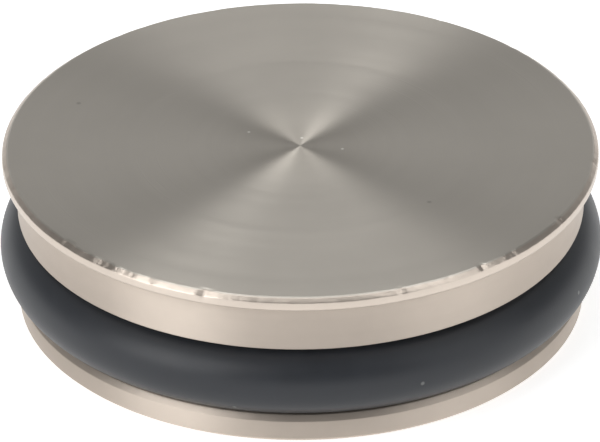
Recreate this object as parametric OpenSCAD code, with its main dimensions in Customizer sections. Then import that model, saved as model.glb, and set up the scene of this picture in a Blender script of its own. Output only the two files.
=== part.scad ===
// Blanking plug for a heating manifold: one turned, plated body and the sealing ring in its groove.
// The plug is pushed into the port from above until its lip lands on the port's mouth.
// Lengths are in millimetres, +Z is up, and the origin is the centre of the underside.

/* [Port] */
// Bore of the manifold port that the plug closes
port_bore_d = 20; // [16:0.5:40]
// Radial clearance of the guide band and the land in that bore
guide_clearance = 0.1; // [0.05:0.01:0.25]

/* [Lip] */
// How far the lip stands out beyond the guide band
lip_overhang = 0.5; // [0.3:0.05:1.5]
// Height of the lip's upright rim, between its underside and its chamfer
lip_rim_h = 0.35; // [0.15:0.05:2]
// Chamfer round the top edge of the lip
lip_chamfer = 0.15; // [0.05:0.05:0.4]
// Broken edge round the underside of the lip
lip_edge = 0.1; // [0.02:0.02:0.12]
// Fillet in the corner between the lip's underside and the guide band
lip_fillet = 0.15; // [0.05:0.05:0.25]

/* [Guide band and land] */
// Height of the guide band, between the lip and the ring groove
band_h = 1.8; // [1:0.05:8]
// Thickness of the land that closes the ring groove below
land_t = 1; // [0.8:0.05:5]
// Chamfer round the land's upper edge, over which the ring is rolled into its groove
land_chamfer = 0.18; // [0.05:0.01:0.3]
// Chamfer that leads the land into the port
lead_in = 0.15; // [0.05:0.05:0.3]

/* [Ring groove] */
// Free width above the sealing ring, which rests on the land
ring_side_gap = 0.1; // [0.05:0.05:0.4]
// Fillet in both corners of the groove floor
floor_fillet = 0.25; // [0.1:0.05:0.4]
// Broken edge where the guide band meets the groove
groove_edge = 0.05; // [0.02:0.01:0.15]

/* [Sealing ring] */
// Diameter of the ring's round section, as it sits stretched on the plug
ring_section = 2.6; // [1.8:0.1:3.6]
// Share of that section that the port's bore squeezes away
ring_squeeze = 0.22; // [0.12:0.01:0.28]
// Depth of the flat that the stretched ring presses on itself at the groove floor
ring_flat = 0.04; // [0.02:0.01:0.1]

/* [Hidden] */
$fn = 180;

// Radii, worked out from the port inwards and outwards
guide_r = port_bore_d / 2 - guide_clearance;
lip_r = guide_r + lip_overhang;
floor_r = port_bore_d / 2 - ring_section * (1 - ring_squeeze);
ring_core_r = floor_r - ring_flat + ring_section / 2;

// Heights, stacked up from the underside
groove_w = ring_section + ring_side_gap;
groove_bottom_z = land_t;
groove_top_z = groove_bottom_z + groove_w;
lip_under_z = groove_top_z + band_h;
rim_top_z = lip_under_z + lip_rim_h;
top_z = rim_top_z + lip_chamfer;
ring_z = groove_bottom_z + ring_section / 2;

// What a fillet of radius r adds to an inner corner at the origin, between the walls along +X and +Y
module corner_fillet(r) {
    difference() {
        square(r);
        translate([r, r]) circle(r);
    }
}

// Half section of the turned body before its inner corners are filleted, axis on the left
module turned_outline() {
    polygon([
        [0, 0],
        [guide_r - lead_in, 0],
        [guide_r, lead_in],
        [guide_r, groove_bottom_z - land_chamfer],
        [guide_r - land_chamfer, groove_bottom_z],
        [floor_r, groove_bottom_z],
        [floor_r, groove_top_z],
        [guide_r - groove_edge, groove_top_z],
        [guide_r, groove_top_z + groove_edge],
        [guide_r, lip_under_z],
        [lip_r - lip_edge, lip_under_z],
        [lip_r, lip_under_z + lip_edge],
        [lip_r, rim_top_z],
        [lip_r - lip_chamfer, top_z],
        [0, top_z],
    ]);
}

// The body, turned from one bar: lip, guide band, ring groove and land
module plug_body() {
    color([0.74, 0.69, 0.64])
    rotate_extrude() {
        turned_outline();
        translate([floor_r, groove_bottom_z]) corner_fillet(floor_fillet);
        translate([floor_r, groove_top_z]) mirror([0, 1]) corner_fillet(floor_fillet);
        translate([guide_r, lip_under_z]) mirror([0, 1]) corner_fillet(lip_fillet);
    }
}

// The rubber ring, resting on the land and pressed flat where it grips the groove floor
module sealing_ring() {
    color([0.19, 0.20, 0.22])
    rotate_extrude()
    difference() {
        translate([ring_core_r, ring_z]) circle(d = ring_section);
        square([floor_r, top_z]);
    }
}

plug_body();
sealing_ring();
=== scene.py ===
"""Looks of a blanking plug for a heating manifold: a turned, nickel-plated body and its rubber ring.

Lengths are in metres, in the frame of the CAD part: +Z is up, and the origin is the centre of the
underside. Angles round the plug start at its front, the side that faces the camera, and grow towards +X.
"""

import math
import random
from typing import NamedTuple

import bmesh
import bpy
from mathutils import Matrix, Vector, noise


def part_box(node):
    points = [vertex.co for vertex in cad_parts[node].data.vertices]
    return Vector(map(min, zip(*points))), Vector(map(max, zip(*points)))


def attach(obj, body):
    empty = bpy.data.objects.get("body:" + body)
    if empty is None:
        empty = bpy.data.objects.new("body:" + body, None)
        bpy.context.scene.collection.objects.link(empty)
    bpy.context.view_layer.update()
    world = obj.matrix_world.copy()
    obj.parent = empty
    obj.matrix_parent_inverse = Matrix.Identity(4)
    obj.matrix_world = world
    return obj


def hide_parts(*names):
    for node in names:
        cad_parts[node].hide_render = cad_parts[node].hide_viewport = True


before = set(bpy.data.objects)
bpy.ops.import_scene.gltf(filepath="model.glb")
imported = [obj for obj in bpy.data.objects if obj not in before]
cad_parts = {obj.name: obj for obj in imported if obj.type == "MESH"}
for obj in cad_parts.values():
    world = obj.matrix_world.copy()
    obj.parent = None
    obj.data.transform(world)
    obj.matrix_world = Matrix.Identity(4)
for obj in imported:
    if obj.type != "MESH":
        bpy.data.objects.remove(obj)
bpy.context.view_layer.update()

bl_info = {
    "name": "Manifold blanking plug",
    "version": (1, 0, 0),
    "blender": (4, 5, 0),
    "location": "3D View > Sidebar > Blanking plug",
    "description": "Dresses a nickel-plated blanking plug and its sealing ring, and sets up their studio",
    "category": "Add Mesh",
}

MM = 0.001
DEGREE = math.pi / 180
BODY_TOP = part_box("plug_body")[1]
RING_LOW, RING_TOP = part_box("sealing_ring")

# Points round the plug: the edges and walls have twice as many as the two flat faces
WALL_POINTS = 720
FACE_POINTS = WALL_POINTS // 2
ARC_STEPS = 5

# Marks on the outer face, in millimetres from its centre: x, y, and for scratches their length and direction. The
# light spots lighten the plating in small spots; the one at (0.06, 0.53) is a painted glint near the face's centre
LIGHT_SPOTS = [(-1.79, 0.97), (1.47, -0.25), (0.06, 0.53)]
STAINS = [(-7.78, 3.09), (4.43, -3.95)]
SCRATCHES = [(-4.80, -2.70, 0.75, -60), (5.67, -1.82, 1.25, -34), (-5.2, 3.1, 3.2, 41)]

# Radii in millimetres of the circles that the tool has scored a little deeper
TOOL_LINES = [0.77, 1.53, 2.05, 2.39, 3.09, 3.88, 5.05, 5.78, 7.84, 9.21]

# Fluff on the sealing ring: angle round the plug in degrees, and height in millimetres
FLUFF = [(23.0, 2.2), (66.0, 2.5), (-13.0, 1.5)]


class PlugSizes(bpy.types.PropertyGroup):
    """Sizes of the turned body's section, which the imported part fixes, and of the wear on its edges"""

    lip_overhang: bpy.props.FloatProperty(
        name="Lip overhang",
        description="How far the lip stands out beyond the guide band",
        default=0.5 * MM,
        unit="LENGTH",
    )
    lip_rim_h: bpy.props.FloatProperty(
        name="Lip rim",
        description="Height of the lip's upright rim",
        default=0.35 * MM,
        unit="LENGTH",
    )
    lip_chamfer: bpy.props.FloatProperty(
        name="Lip chamfer",
        description="Chamfer round the top edge of the lip",
        default=0.15 * MM,
        unit="LENGTH",
    )
    lip_wear: bpy.props.FloatProperty(
        name="Lip wear",
        description="How much wider than it is high tumbling has left the lip's chamfer",
        default=0.05 * MM,
        unit="LENGTH",
    )
    lip_edge: bpy.props.FloatProperty(
        name="Lip edge",
        description="Radius that breaks the lip's lower edge",
        default=0.12 * MM,
        unit="LENGTH",
    )
    lip_fillet: bpy.props.FloatProperty(
        name="Lip fillet",
        description="Fillet between the lip's underside and the guide band",
        default=0.15 * MM,
        unit="LENGTH",
    )
    band_h: bpy.props.FloatProperty(
        name="Guide band",
        description="Height of the guide band",
        default=1.8 * MM,
        unit="LENGTH",
    )
    groove_edge: bpy.props.FloatProperty(
        name="Groove edge",
        description="Radius that breaks the edge between the guide band and the groove",
        default=0.06 * MM,
        unit="LENGTH",
    )
    floor_fillet: bpy.props.FloatProperty(
        name="Groove fillet",
        description="Fillet in both corners of the groove floor",
        default=0.25 * MM,
        unit="LENGTH",
    )
    ring_flat: bpy.props.FloatProperty(
        name="Ring flat",
        description="Depth of the flat that the ring presses on itself at the groove floor",
        default=0.04 * MM,
        unit="LENGTH",
    )
    land_chamfer: bpy.props.FloatProperty(
        name="Land chamfer",
        description="Chamfer round the land's upper edge",
        default=0.18 * MM,
        unit="LENGTH",
    )
    lead_in: bpy.props.FloatProperty(
        name="Lead-in",
        description="Chamfer that leads the land into the port",
        default=0.15 * MM,
        unit="LENGTH",
    )
    plate_round: bpy.props.FloatProperty(
        name="Plated rounding",
        description="Radius that tumbling and plating leave on every edge",
        default=0.06 * MM,
        unit="LENGTH",
    )
    face_roll: bpy.props.FloatProperty(
        name="Face roll-off",
        description="Width of the margin where the outer face falls away to the lip's chamfer",
        default=0.35 * MM,
        unit="LENGTH",
    )
    face_fall: bpy.props.FloatProperty(
        name="Face fall",
        description="How far the outer face falls over that margin",
        default=0.004 * MM,
        unit="LENGTH",
    )
    edge_wander: bpy.props.FloatProperty(
        name="Edge wander",
        description="How far the edges of the lip's chamfer stray from true circles",
        default=0.012 * MM,
        unit="LENGTH",
    )
    dent_depth: bpy.props.FloatProperty(
        name="Dent depth",
        description="Depth of the deepest dent in the lip's chamfer",
        default=0.035 * MM,
        unit="LENGTH",
    )
    turning_wave: bpy.props.FloatProperty(
        name="Turning wave",
        description="Depth of the broad waves that the tool leaves on the faces",
        default=0.0012 * MM,
        unit="LENGTH",
    )


class FinishColours(bpy.types.PropertyGroup):
    """Colours of the plating and the rubber, and how rough they are"""

    face: bpy.props.FloatVectorProperty(
        name="Face plating",
        description="Nickel on the turned faces",
        default=(0.62, 0.58, 0.52),
        subtype="COLOR",
        min=0,
        max=1,
    )
    # Painted reflection: the walls are a little warmer than the face, standing in for the warm reflection that the
    # band shows
    wall: bpy.props.FloatVectorProperty(
        name="Wall plating, warm reflection painted in",
        description="Nickel on the band, the lip and the land, a little warmer",
        default=(0.62, 0.545, 0.475),
        subtype="COLOR",
        min=0,
        max=1,
    )
    rubber: bpy.props.FloatVectorProperty(
        name="Rubber",
        description="The sealing ring",
        default=(0.018, 0.0210, 0.0265),
        subtype="COLOR",
        min=0,
        max=1,
    )
    face_roughness: bpy.props.FloatProperty(
        name="Face roughness",
        description="Roughness of the turned faces",
        default=0.36,
        min=0,
        max=1,
    )
    centre_roughness: bpy.props.FloatProperty(
        name="Centre roughness",
        description="How much rougher the outer face is at its centre, where the tool slows down",
        default=0.16,
        min=0,
        max=1,
    )
    wall_roughness: bpy.props.FloatProperty(
        name="Wall roughness",
        description="Roughness of the band and the land",
        default=0.5,
        min=0,
        max=1,
    )
    lip_roughness: bpy.props.FloatProperty(
        name="Lip roughness",
        description="Roughness of the lip's chamfer and rim, rubbed smooth in tumbling",
        default=0.3,
        min=0,
        max=1,
    )
    rubber_roughness: bpy.props.FloatProperty(
        name="Rubber roughness",
        description="Roughness of the sealing ring",
        default=0.42,
        min=0,
        max=1,
    )


class StudioSettings(bpy.types.PropertyGroup):
    """Camera, floor and lamps"""

    elevation: bpy.props.FloatProperty(
        name="Camera elevation",
        description="Height of the camera above the horizon, as an angle",
        default=30.6 * DEGREE,
        subtype="ANGLE",
    )
    roll: bpy.props.FloatProperty(
        name="Camera roll",
        description="How far the camera's right side leans down",
        default=0.455 * DEGREE,
        subtype="ANGLE",
    )
    distance: bpy.props.FloatProperty(
        name="Camera distance",
        description="From the camera to the point it looks at",
        default=291.2 * MM,
        unit="LENGTH",
    )
    aim: bpy.props.FloatVectorProperty(
        name="Camera aim",
        description="The point that the camera looks at",
        default=(-0.027 * MM, 0, 2.942 * MM),
        subtype="TRANSLATION",
        unit="LENGTH",
    )
    lens: bpy.props.FloatProperty(
        name="Lens",
        description="Focal length in millimetres on a 36 mm sensor",
        default=498.65,
    )
    floor: bpy.props.FloatVectorProperty(
        name="Floor",
        description="Colour of the floor",
        default=(0.8, 0.8, 0.8),
        subtype="COLOR",
        min=0,
        max=1,
    )
    floor_lift: bpy.props.FloatProperty(
        name="Floor lift",
        description="Light that the floor adds for the camera and in reflections, so that it shows as white",
        default=0.62,
        min=0,
        max=1,
    )


class Corner(NamedTuple):
    """A corner of the half section: its place, the radius that rounds it, and the edge that it makes"""

    r: float
    z: float
    rounding: float = 0.0
    edge: str = ""


class Dent(NamedTuple):
    """A dent in the lip's chamfer: its angle round the plug, half width and depth"""

    angle: float
    width: float
    depth: float


class Wire:
    """An output socket that takes part in Python sums, where each sign adds one Math node."""

    def __init__(self, finish, socket):
        self.finish = finish
        self.socket = socket

    def other(self, name):
        """Another output of the same node."""
        return Wire(self.finish, self.socket.node.outputs[name])

    def _sum(self, operation, first, second):
        return self.finish.node("ShaderNodeMath", {"operation": operation}, {0: first, 1: second})

    def __add__(self, value):
        return self._sum("ADD", self, value)

    def __radd__(self, value):
        return self._sum("ADD", value, self)

    def __sub__(self, value):
        return self._sum("SUBTRACT", self, value)

    def __rsub__(self, value):
        return self._sum("SUBTRACT", value, self)

    def __mul__(self, value):
        return self._sum("MULTIPLY", self, value)

    def __rmul__(self, value):
        return self._sum("MULTIPLY", value, self)

    def __pow__(self, value):
        return self._sum("POWER", self, value)

    def __or__(self, value):
        return self._sum("MAXIMUM", self, value)


class Finish:
    """A material's or the world's nodes, with the few steps that this object's finishes are made of."""

    def __init__(self, owner):
        owner.use_nodes = True
        self.tree = owner.node_tree
        self.tree.nodes.clear()

    @classmethod
    def material(cls, name):
        """An empty finish in a new material of this name."""
        made = bpy.data.materials.new(name)
        finish = cls(made)
        finish.owner = made
        return finish

    def node(self, kind, settings=None, values=None, out=0):
        """Adds a node of this type, makes its settings, gives its sockets values or wires, and returns an output."""
        node = self.tree.nodes.new(kind)
        for name, setting in (settings or {}).items():
            if name == "stops":
                self._set_stops(node.color_ramp, setting)
            else:
                setattr(node, name, setting)
        for key, value in (values or {}).items():
            if isinstance(value, Wire):
                self.tree.links.new(value.socket, node.inputs[key])
            else:
                node.inputs[key].default_value = value
        return Wire(self, node.outputs[out]) if node.outputs else None

    @staticmethod
    def _set_stops(ramp, stops):
        while len(ramp.elements) < len(stops):
            ramp.elements.new(1.0)
        for element, (position, level) in zip(ramp.elements, stops):
            element.position = position
            element.color = (level, level, level, 1)

    def split(self, vector):
        """The three parts of a vector."""
        parts = self.node("ShaderNodeSeparateXYZ", values={0: vector})
        return parts, parts.other("Y"), parts.other("Z")

    def rise(self, value, low, high):
        """0 below low, 1 above high, and a smooth rise between them."""
        return self.node(
            "ShaderNodeMapRange",
            {"interpolation_type": "SMOOTHSTEP"},
            {"Value": value, "From Min": low, "From Max": high},
        )

    def between(self, value, low, high, soft):
        """1 between low and high, and 0 outside them."""
        return self.rise(value, low - soft, low + soft) * (1 - self.rise(value, high - soft, high + soft))

    def noise_along(self, value, scale, detail=2.0, roughness=0.5):
        """Noise that changes along one value only."""
        return self.node(
            "ShaderNodeTexNoise",
            {"noise_dimensions": "1D"},
            {"W": value, "Scale": scale, "Detail": detail, "Roughness": roughness},
        )

    def noise_at(self, place, scale, detail=2.0, roughness=0.5):
        """Noise in space."""
        return self.node(
            "ShaderNodeTexNoise",
            values={"Vector": place, "Scale": scale, "Detail": detail, "Roughness": roughness},
        )

    def blend(self, share, low, high):
        """A colour that goes from low to high with a share."""
        return self.node("ShaderNodeMix", {"data_type": "RGBA"}, {0: share, 6: low, 7: high}, out=2)

    def distance(self, place, point):
        """How far a place is from a point."""
        return self.node("ShaderNodeVectorMath", {"operation": "DISTANCE"}, {0: place, 1: point}, out="Value")

    def bump(self, height, depth, below=None):
        """The surface's direction, pushed about by a height that is worth so many metres."""
        values = {"Height": height, "Strength": 1.0, "Distance": depth}
        if below:
            values["Normal"] = below
        return self.node("ShaderNodeBump", values=values)

    def surface(self, shader):
        """Puts a shader on the material's output."""
        self.node("ShaderNodeOutputMaterial", values={"Surface": shader})


def colour(value):
    """A property's colour with full cover, as a socket takes it."""
    return (*value, 1.0)


def at_angle(r, angle, z):
    """The point at a radius, an angle round the plug and a height."""
    return Vector((r * math.sin(angle), -r * math.cos(angle), z))


def rounded(corners):
    """The half section's points as (r, z, edge), each corner with a radius turned into an arc."""
    points = []
    for k, corner in enumerate(corners):
        if not corner.rounding:
            points.append((corner.r, corner.z, corner.edge))
            continue
        here = Vector((corner.r, corner.z))
        back = (Vector(corners[k - 1][:2]) - here).normalized()
        ahead = (Vector(corners[k + 1][:2]) - here).normalized()
        half = back.angle(ahead) / 2
        centre = here + (back + ahead).normalized() * corner.rounding / math.sin(half)
        start = here + back * corner.rounding / math.tan(half) - centre
        end = here + ahead * corner.rounding / math.tan(half) - centre
        sweep = math.atan2(start.x * end.y - start.y * end.x, start.dot(end))
        for step in range(ARC_STEPS + 1):
            point = centre + Matrix.Rotation(sweep * step / ARC_STEPS, 2) @ start
            points.append((point.x, point.y, corner.edge))
    return points


def tool_wave(r, seed):
    """The broad waves that the tool leaves on a face, from -1 to 1."""
    return noise.noise(Vector((r / (0.42 * MM), seed, 0))) + 0.6 * noise.noise(Vector((r / (0.17 * MM), seed, 7)))


def face_points(r_edge, z, down, wave, seed, spacing):
    """A turned face from just off its centre to its edge: a small facing pip and waves that never rise above it."""
    points = []
    count = round(r_edge / spacing)
    for k in range(1, count + 1):
        r = r_edge * k / count
        pip = 0.004 * MM * math.exp(-((r / (0.16 * MM)) ** 2))
        ripple = wave * (tool_wave(r, seed) + 1.2)
        points.append((r, z - down * (ripple + pip), ""))
    return points


def lip_dents(sizes):
    """The dents in the lip's chamfer: three clear ones, a rough stretch at the front left, and a few all round."""
    dents = [Dent(angle * DEGREE, 0.09 * MM, sizes.dent_depth) for angle in (19.3, 36.9, 59.8)]
    draw = random.Random(5)
    for _ in range(26):
        angle = draw.uniform(-52, -17) * DEGREE
        dents.append(Dent(angle, draw.uniform(0.09, 0.2) * MM, sizes.dent_depth * draw.uniform(0.1, 0.5)))
    for _ in range(40):
        angle = draw.uniform(-180, 180) * DEGREE
        dents.append(Dent(angle, draw.uniform(0.09, 0.18) * MM, sizes.dent_depth * draw.uniform(0.05, 0.3)))
    return dents


def edge_wear(sizes, dents):
    """Returns a function of an edge and an angle that says how far wear moves it, outwards and up."""
    stray = {"top_edge": (1, 0), "rim_top": (0, 1), "land_top": (0.7, 0.7), "chamfer": (0, 0)}
    struck = {"top_edge": 1.0, "chamfer": 1.0, "rim_top": 0.8}

    def wear(edge, r, angle):
        if edge not in stray:
            return 0.0, 0.0
        seed = 10.0 * len(edge)
        round_place = Vector((math.sin(angle), math.cos(angle), 0))
        wander = noise.noise(round_place * 9 + Vector((0, 0, seed)))
        wander += 0.7 * noise.noise(round_place * 45 + Vector((0, 0, seed)))
        out, up = (sizes.edge_wander * wander * part for part in stray[edge])
        for dent in dents:
            away = (angle - dent.angle + math.pi) % (2 * math.pi) - math.pi
            push = struck.get(edge, 0) * dent.depth * math.exp(-((away * r / dent.width) ** 2))
            out -= 0.7 * push
            up -= 0.7 * push
        return out, up

    return wear


def body_section(sizes):
    """The turned body's half section in three runs: the outer face, the walls and edges, and the underside."""
    lip_r = BODY_TOP.x
    top_z = BODY_TOP.z
    guide_r = lip_r - sizes.lip_overhang
    rim_top_z = top_z - sizes.lip_chamfer
    lip_under_z = rim_top_z - sizes.lip_rim_h
    groove_top_z = lip_under_z - sizes.band_h
    land_z = RING_LOW.z
    floor_r = RING_TOP.x - (RING_TOP.z - RING_LOW.z) + sizes.ring_flat
    face_r = lip_r - sizes.lip_chamfer - sizes.lip_wear
    roll_r = face_r - sizes.face_roll
    soft = sizes.plate_round
    outer = face_points(roll_r, top_z, 1, sizes.turning_wave, 3, 0.1 * MM)
    start_z = outer[-1][1]
    walls = [
        Corner(roll_r + sizes.face_roll * share, start_z - sizes.face_fall * share**2)
        for share in (0.25, 0.5, 0.75)
    ]
    chamfer_out = (lip_r - face_r) / 3
    chamfer_down = sizes.lip_chamfer / 3
    walls += [
        Corner(face_r, start_z - sizes.face_fall, 1.6 * soft, "top_edge"),
        Corner(lip_r - 2 * chamfer_out, top_z - chamfer_down, 0, "chamfer"),
        Corner(lip_r - chamfer_out, top_z - 2 * chamfer_down, 0, "chamfer"),
        Corner(lip_r, rim_top_z, soft, "rim_top"),
        Corner(lip_r, lip_under_z, sizes.lip_edge),
        Corner(guide_r, lip_under_z, sizes.lip_fillet),
        Corner(guide_r, groove_top_z, sizes.groove_edge),
        Corner(floor_r, groove_top_z, sizes.floor_fillet),
        Corner(floor_r, land_z, sizes.floor_fillet),
        Corner(guide_r - sizes.land_chamfer, land_z, soft, "land_top"),
        Corner(guide_r, land_z - sizes.land_chamfer, soft, "land_side"),
        Corner(guide_r, sizes.lead_in, soft),
        Corner(guide_r - sizes.lead_in, 0, soft),
        Corner(guide_r - 3 * sizes.lead_in, 0),
    ]
    walls = rounded(walls)
    under = face_points(guide_r - 4 * sizes.lead_in, 0, -1, sizes.turning_wave, 8, 0.4 * MM)
    return outer, walls, under[::-1]


def join_rings(bm, first, second):
    """Faces between two rings of points that have the same count, or of which one has twice the other's."""
    if len(first) == len(second):
        for k in range(len(first)):
            bm.faces.new((first[k - 1], first[k], second[k], second[k - 1]))
        return
    coarse, fine = sorted((first, second), key=len)
    for k in range(len(coarse)):
        left, middle, right = fine[2 * k - 2], fine[2 * k - 1], fine[2 * k]
        bm.faces.new((coarse[k - 1], left, middle))
        bm.faces.new((coarse[k - 1], middle, coarse[k]))
        bm.faces.new((coarse[k], middle, right))


def turned_mesh(name, runs, wear=None, closed=False):
    """A mesh of revolution from runs of (points, count round): a solid with two poles, or a closed ring."""
    bm = bmesh.new()
    rings = []
    for points, count in runs:
        for r, z, edge in points:
            ring = []
            for k in range(count):
                angle = 2 * math.pi * k / count
                out, up = wear(edge, r, angle) if wear else (0.0, 0.0)
                ring.append(bm.verts.new(at_angle(r + out, angle, z + up)))
            rings.append(ring)
    for first, second in zip(rings, rings[1:]):
        join_rings(bm, first, second)
    if closed:
        join_rings(bm, rings[-1], rings[0])
    else:
        for ring in (rings[0], rings[-1]):
            pole = bm.verts.new((0, 0, ring[0].co.z))
            for k in range(len(ring)):
                bm.faces.new((ring[k - 1], ring[k], pole))
    bmesh.ops.recalc_face_normals(bm, faces=bm.faces)
    mesh = bpy.data.meshes.new(name)
    bm.to_mesh(mesh)
    bm.free()
    mesh.shade_smooth()
    piece = bpy.data.objects.new(name, mesh)
    bpy.context.scene.collection.objects.link(piece)
    weighted = piece.modifiers.new("Flat walls stay flat", "WEIGHTED_NORMAL")
    weighted.keep_sharp = False
    return piece


def scratch_mask(finish, x, y, scratch):
    """1 along a hair scratch on the outer face, from its middle, length and direction."""
    mid_x, mid_y, length, degrees = scratch
    ux, uy = math.cos(degrees * DEGREE), math.sin(degrees * DEGREE)
    along = (x - mid_x) * ux + (y - mid_y) * uy
    across = (y - mid_y) * ux - (x - mid_x) * uy
    return finish.between(along, -length / 2, length / 2, 0.15) * finish.between(across, -0.012, 0.012, 0.02)


def nickel_plate(look):
    """Fine turned nickel plate: tool marks round every face, walls painted a little warmer for their warm
    reflection, smooth edges, a few marks of use, and light spots, one of them a painted glint.
    """
    finish = Finish.material("nickel_plate")
    place = finish.node("ShaderNodeTexCoord", out="Object")
    in_mm = finish.node("ShaderNodeVectorMath", {"operation": "SCALE"}, {0: place, "Scale": 1 / MM})
    x, y, z = finish.split(in_mm)
    radius = (x * x + y * y) ** 0.5
    lip_r, top_z = BODY_TOP.x / MM, BODY_TOP.z / MM
    on_face = finish.rise(z, top_z - 0.05, top_z - 0.02)
    on_lip = finish.rise(z, top_z - 0.5, top_z - 0.44) * (1 - on_face)
    on_wall = finish.rise(radius, lip_r - 1.3, lip_r - 0.9) * (1 - on_face)

    # The tool travels along the section, so radius less height counts its marks on every face and wall
    travel = radius - z
    fine_marks = finish.noise_along(travel, 9.0, detail=3.0, roughness=0.6)
    broad_marks = finish.noise_along(travel, 1.7, detail=2.0)
    smudges = finish.noise_at(in_mm, 0.22, detail=4.0, roughness=0.6)
    streaks = finish.noise_at(in_mm, 0.9, detail=3.0)

    face_tone = finish.blend(smudges, colour(c * 0.93 for c in look.face), colour(c * 1.06 for c in look.face))
    # The walls' warmer tone is a painted reflection: it paints in the warm reflection that the band shows
    wall_tone = finish.blend(streaks, colour(c * 0.95 for c in look.wall), colour(c * 1.05 for c in look.wall))
    tone = finish.blend(on_wall, face_tone, wall_tone)
    # Light spots: the plating lightened in small spots, the one near the centre a painted glint
    for mark_x, mark_y in LIGHT_SPOTS:
        spot = 1 - finish.rise(finish.distance(in_mm, (mark_x, mark_y, top_z)), 0.03, 0.075)
        tone = finish.blend(spot, tone, (0.95, 0.92, 0.86, 1))
    for mark_x, mark_y in STAINS:
        spot = 1 - finish.rise(finish.distance(in_mm, (mark_x, mark_y, top_z)), 0.03, 0.12)
        tone = finish.blend(spot * 0.4, tone, (0.25, 0.23, 0.2, 1))

    scratches = None
    for scratch in SCRATCHES:
        mask = scratch_mask(finish, x, y, scratch)
        scratches = mask if scratches is None else scratches | mask
    scratches = scratches * on_face

    rough = look.face_roughness + (look.wall_roughness - look.face_roughness) * on_wall
    rough = rough + (look.lip_roughness - look.wall_roughness) * on_lip
    rough = rough + 0.1 * (broad_marks - 0.5) + 0.06 * (smudges - 0.5)
    rough = rough + look.centre_roughness * on_face * (1 - finish.rise(radius, 0.3, 4.2))

    marks = finish.bump(fine_marks, 0.0016 * MM)
    lines = None
    for line_r in TOOL_LINES:
        line = finish.between(radius, line_r - 0.012, line_r + 0.012, 0.025)
        lines = line if lines is None else lines | line
    marks = finish.bump(lines * on_face, 0.003 * MM, marks)
    hammered = finish.noise_at(in_mm, 3.5, detail=2.0)
    marks = finish.bump(hammered * (on_lip + 0.25 * on_wall), 0.012 * MM, marks)
    marks = finish.bump(1 - scratches, 0.004 * MM, marks)
    shader = finish.node(
        "ShaderNodeBsdfPrincipled",
        values={
            "Base Color": tone,
            "Metallic": 1.0,
            "Roughness": rough,
            "Anisotropic": 0.9,
            "Anisotropic Rotation": 0.25,
            "Normal": marks,
        },
    )
    finish.surface(shader)
    return finish.owner


def seal_rubber(look):
    """Smooth moulded rubber with a satin skin, faint handling marks and a little fluff."""
    finish = Finish.material("seal_rubber")
    place = finish.node("ShaderNodeTexCoord", out="Object")
    in_mm = finish.node("ShaderNodeVectorMath", {"operation": "SCALE"}, {0: place, "Scale": 1 / MM})
    bloom = finish.noise_at(in_mm, 0.8, detail=4.0, roughness=0.6)
    grain = finish.noise_at(in_mm, 14.0, detail=3.0)
    tone = finish.blend(bloom, colour(c * 0.8 for c in look.rubber), colour(c * 1.25 for c in look.rubber))
    for degrees, height in FLUFF:
        half = (RING_TOP.z - RING_LOW.z) / 2 / MM
        lift = height - (RING_TOP.z + RING_LOW.z) / 2 / MM
        r = RING_TOP.x / MM - half + math.sqrt(half**2 - lift**2)
        spot = 1 - finish.rise(finish.distance(in_mm, at_angle(r, degrees * DEGREE, height)), 0.03, 0.1)
        tone = finish.blend(spot * 0.5, tone, (0.3, 0.31, 0.3, 1))
    shader = finish.node(
        "ShaderNodeBsdfPrincipled",
        values={
            "Base Color": tone,
            "Roughness": look.rubber_roughness + 0.12 * (bloom - 0.5),
            "Specular IOR Level": 0.5,
            "Normal": finish.bump(grain, 0.002 * MM),
        },
    )
    finish.surface(shader)
    return finish.owner


class PLUG_OT_turned_body(bpy.types.Operator):
    """Turns the plated body: outer face, lip, guide band, ring groove, land and underside"""

    bl_idname = "plug.turned_body"
    bl_label = "Turned body"

    def execute(self, context):
        sizes = context.scene.plug_sizes
        outer, walls, under = body_section(sizes)
        wear = edge_wear(sizes, lip_dents(sizes))
        runs = [(outer, FACE_POINTS), (walls, WALL_POINTS), (under, FACE_POINTS)]
        body = turned_mesh("turned_body", runs, wear)
        body.data.materials.append(nickel_plate(context.scene.plug_finish))
        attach(body, "root")
        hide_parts("plug_body")
        return {"FINISHED"}


class PLUG_OT_sealing_ring(bpy.types.Operator):
    """Moulds the rubber ring, resting on the land and pressed flat on the groove floor"""

    bl_idname = "plug.sealing_ring"
    bl_label = "Sealing ring"

    def execute(self, context):
        sizes = context.scene.plug_sizes
        half = (RING_TOP.z - RING_LOW.z) / 2
        middle_r = RING_TOP.x - half
        floor_r = middle_r - half + sizes.ring_flat
        points = []
        steps = 96
        for k in range(steps):
            turn = 2 * math.pi * k / steps
            r = max(middle_r + half * math.cos(turn), floor_r)
            points.append((r, RING_LOW.z + half + half * math.sin(turn), ""))
        ring = turned_mesh("rubber_ring", [(points, WALL_POINTS)], closed=True)
        ring.data.materials.append(seal_rubber(context.scene.plug_finish))
        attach(ring, "root")
        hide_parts("sealing_ring")
        return {"FINISHED"}


class Softbox(NamedTuple):
    """A lamp: the direction it stands in, how far off, its two sides, and how bright it looks"""

    name: str
    azimuth: float
    elevation: float
    distance: float
    width: float
    height: float
    radiance: float


SOFTBOXES = [
    Softbox("overhead", 180, 84, 0.5, 0.62, 0.26, 2.0),
    Softbox("left", -52, 31, 0.42, 0.28, 0.33, 2.9),
    Softbox("right", 64, 31, 0.42, 0.3, 0.33, 1.0),
    Softbox("back_card", 180, 30, 0.6, 0.95, 0.42, 0.22),
]


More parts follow.
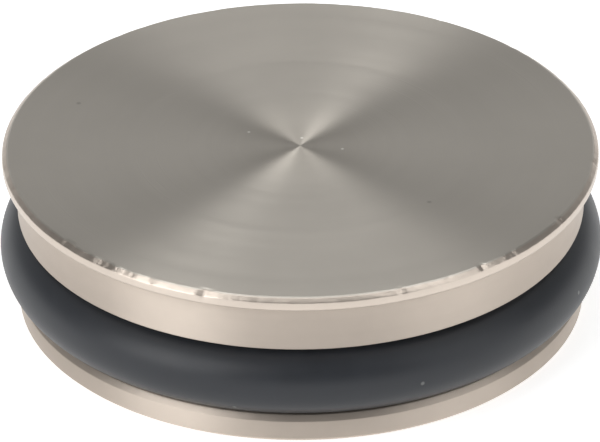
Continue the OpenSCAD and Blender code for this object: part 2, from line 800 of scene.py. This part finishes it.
def hang_softbox(softbox):
    """Adds the lamp as an area light that faces the plug."""
    angle = softbox.azimuth * DEGREE
    level = softbox.elevation * DEGREE
    back = at_angle(math.cos(level), angle, math.sin(level))
    data = bpy.data.lights.new(softbox.name, "AREA")
    data.shape = "RECTANGLE"
    data.size = softbox.width
    data.size_y = softbox.height
    data.energy = softbox.radiance * math.pi * softbox.width * softbox.height
    lamp = bpy.data.objects.new(softbox.name, data)
    lamp.location = back * softbox.distance
    lamp.rotation_mode = "QUATERNION"
    lamp.rotation_quaternion = (-back).to_track_quat("-Z", "Y")
    lamp.visible_camera = False
    bpy.context.scene.collection.objects.link(lamp)


def studio_floor(studio):
    """A pale floor that reads as white wherever no shadow falls, and that can be seen through from below."""
    finish = Finish.material("studio_floor")
    rays = finish.node("ShaderNodeLightPath", out="Is Camera Ray")
    seen = rays | rays.other("Is Glossy Ray") | rays.other("Is Transmission Ray")
    paint = finish.node("ShaderNodeBsdfDiffuse", values={"Color": colour(studio.floor)})
    glow = finish.node("ShaderNodeEmission", values={"Color": (1, 1, 1, 1), "Strength": studio.floor_lift})
    lifted = finish.node("ShaderNodeAddShader", values={0: paint, 1: glow})
    shown = finish.node("ShaderNodeMixShader", values={0: seen, 1: paint, 2: lifted})
    from_below = finish.node("ShaderNodeNewGeometry", out="Backfacing")
    clear = finish.node("ShaderNodeBsdfTransparent")
    finish.surface(finish.node("ShaderNodeMixShader", values={0: from_below, 1: shown, 2: clear}))
    mesh = bpy.data.meshes.new("studio_floor")
    reach = 4.0
    corners = [(-reach, -reach), (reach, -reach), (reach, reach), (-reach, reach)]
    mesh.from_pydata([(cx, cy, -0.01 * MM) for cx, cy in corners], [], [(0, 1, 2, 3)])
    mesh.materials.append(finish.owner)
    floor = bpy.data.objects.new("studio_floor", mesh)
    bpy.context.scene.collection.objects.link(floor)


def studio_world():
    """Surroundings that are white up to the horizon, and grey and then dark above it."""
    world = bpy.data.worlds.new("studio_world")
    bpy.context.scene.world = world
    finish = Finish(world)
    direction = finish.node("ShaderNodeTexCoord", out="Generated")
    up = finish.split(direction)[2]
    stops = [(0.0, 1.0), (0.545, 1.0), (0.61, 0.24), (0.75, 0.2), (1.0, 0.18)]
    level = finish.node(
        "ShaderNodeValToRGB",
        {"stops": stops},
        {0: up * 0.5 + 0.5},
    )
    sky = finish.node("ShaderNodeBackground", values={"Color": level, "Strength": 1.0})
    finish.node("ShaderNodeOutputWorld", values={"Surface": sky})


def place_camera(studio):
    """The camera of the photograph: a long lens, turned a little about its own axis."""
    ahead = Vector((0, math.cos(studio.elevation), -math.sin(studio.elevation)))
    level_up = Vector((0, math.sin(studio.elevation), math.cos(studio.elevation)))
    level_right = Vector((1, 0, 0))
    right = level_right * math.cos(studio.roll) - level_up * math.sin(studio.roll)
    up = right.cross(ahead)
    data = bpy.data.cameras.new("camera")
    data.sensor_width = 36
    data.lens = studio.lens
    data.clip_start = 10 * MM
    camera = bpy.data.objects.new("camera", data)
    turn = Matrix((right, up, -ahead)).transposed().to_4x4()
    camera.matrix_world = Matrix.Translation(Vector(studio.aim) - ahead * studio.distance) @ turn
    bpy.context.scene.collection.objects.link(camera)
    bpy.context.scene.camera = camera


class PLUG_OT_studio(bpy.types.Operator):
    """Sets up the pale floor, the soft lamps, the surroundings and the camera"""

    bl_idname = "plug.studio"
    bl_label = "Studio"

    def execute(self, context):
        studio = context.scene.plug_studio
        studio_floor(studio)
        studio_world()
        for softbox in SOFTBOXES:
            hang_softbox(softbox)
        place_camera(studio)
        context.scene.view_settings.view_transform = "Standard"
        return {"FINISHED"}


class PLUG_PT_sidebar(bpy.types.Panel):
    """Lists the plug's pieces and the settings that they are made from"""

    bl_label = "Blanking plug"
    bl_space_type = "VIEW_3D"
    bl_region_type = "UI"
    bl_category = "Blanking plug"

    def draw(self, context):
        for operator in OPERATORS:
            self.layout.operator(operator.bl_idname)
        for group in (context.scene.plug_sizes, context.scene.plug_finish, context.scene.plug_studio):
            box = self.layout.box()
            for name in group.bl_rna.properties.keys():
                if name not in ("rna_type", "name"):
                    box.prop(group, name)


OPERATORS = (PLUG_OT_turned_body, PLUG_OT_sealing_ring, PLUG_OT_studio)
CLASSES = (PlugSizes, FinishColours, StudioSettings, *OPERATORS, PLUG_PT_sidebar)


def register():
    """Registers the classes and hangs the settings on the scene."""
    for cls in CLASSES:
        bpy.utils.register_class(cls)
    bpy.types.Scene.plug_sizes = bpy.props.PointerProperty(type=PlugSizes)
    bpy.types.Scene.plug_finish = bpy.props.PointerProperty(type=FinishColours)
    bpy.types.Scene.plug_studio = bpy.props.PointerProperty(type=StudioSettings)


def unregister():
    """Takes the settings off the scene and unregisters the classes."""
    del bpy.types.Scene.plug_studio
    del bpy.types.Scene.plug_finish
    del bpy.types.Scene.plug_sizes
    for cls in reversed(CLASSES):
        bpy.utils.unregister_class(cls)


def main():
    register()
    bpy.ops.plug.turned_body()
    bpy.ops.plug.sealing_ring()
    bpy.ops.plug.studio()


if __name__ == "__main__":
    main()
